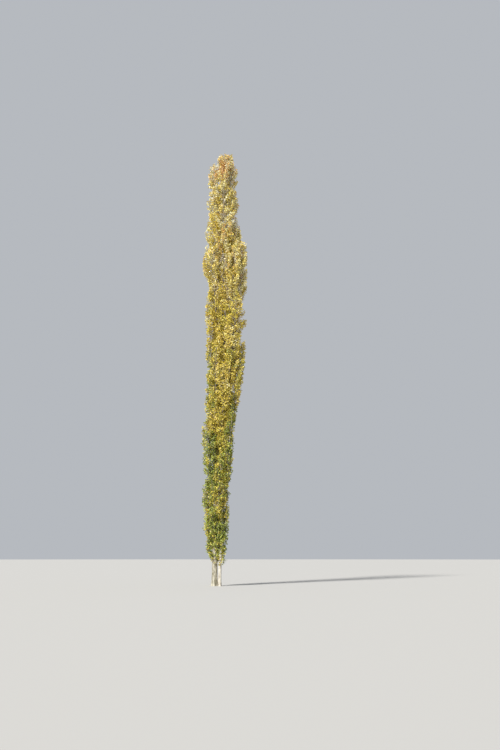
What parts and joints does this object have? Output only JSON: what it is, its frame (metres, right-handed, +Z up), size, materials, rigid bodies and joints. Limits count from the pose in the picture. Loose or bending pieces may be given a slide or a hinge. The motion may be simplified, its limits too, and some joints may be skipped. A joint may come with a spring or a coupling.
{
  "type": "lombardy poplar tree",
  "caption": "Tall narrow poplar in yellow-green autumn leaf: two stems from one root, steep boughs, and a flame-shaped mass of foliage on each bough.",
  "frame": {"origin": "the middle of the trunk's flat cut at ground level", "axes": "+Z up along the trunk; +X to the right and +Y away, as the picture sees the tree; the second stem stands at +X, -Y of the trunk"},
  "size_m": [2.6494, 2.3074, 27.0611],
  "materials": {
    "bark": "pale, slightly rough bark",
    "bough_bark": "grey, slightly rough bark",
    "leaves_low": "matt leaf, olive green",
    "leaves_middle": "matt leaf, yellow green",
    "leaves_top": "matt leaf, golden yellow"
  },
  "bodies": {
    "root": {"trunk": "bark", "second_stem": "bark", "bough_05": "bough_bark", "bough_06": "bough_bark", "bough_07": "bough_bark", "bough_08": "bough_bark", "bough_09": "bough_bark", "bough_10": "bough_bark", "bough_11": "bough_bark", "bough_12": "bough_bark", "bough_13": "bough_bark", "bough_14": "bough_bark", "bough_15": "bough_bark", "bough_16": "bough_bark", "bough_17": "bough_bark", "bough_18": "bough_bark", "bough_19": "bough_bark", "bough_20": "bough_bark", "bough_21": "bough_bark", "bough_22": "bough_bark", "bough_24": "bough_bark", "bough_25": "bough_bark", "bough_26": "bough_bark", "bough_27": "bough_bark", "bough_28": "bough_bark", "foliage_01": "leaves_low", "foliage_02": "leaves_low", "foliage_03": "leaves_low", "foliage_04": "leaves_low", "foliage_05": "leaves_low", "foliage_06": "leaves_low", "foliage_07": "leaves_low", "foliage_08": "leaves_low", "foliage_09": "leaves_low", "foliage_10": "leaves_middle", "foliage_11": "leaves_middle", "foliage_12": "leaves_middle", "foliage_13": "leaves_middle", "foliage_14": "leaves_middle", "foliage_15": "leaves_middle", "foliage_16": "leaves_middle", "foliage_17": "leaves_middle", "foliage_18": "leaves_middle", "foliage_19": "leaves_middle", "foliage_20": "leaves_top", "foliage_21": "leaves_top", "foliage_22": "leaves_top", "foliage_23": "leaves_top", "foliage_24": "leaves_top", "foliage_25": "leaves_top", "foliage_26": "leaves_top", "foliage_27": "leaves_top", "foliage_28": "leaves_top", "foliage_29": "leaves_top"}
  },
  "joints": []
}
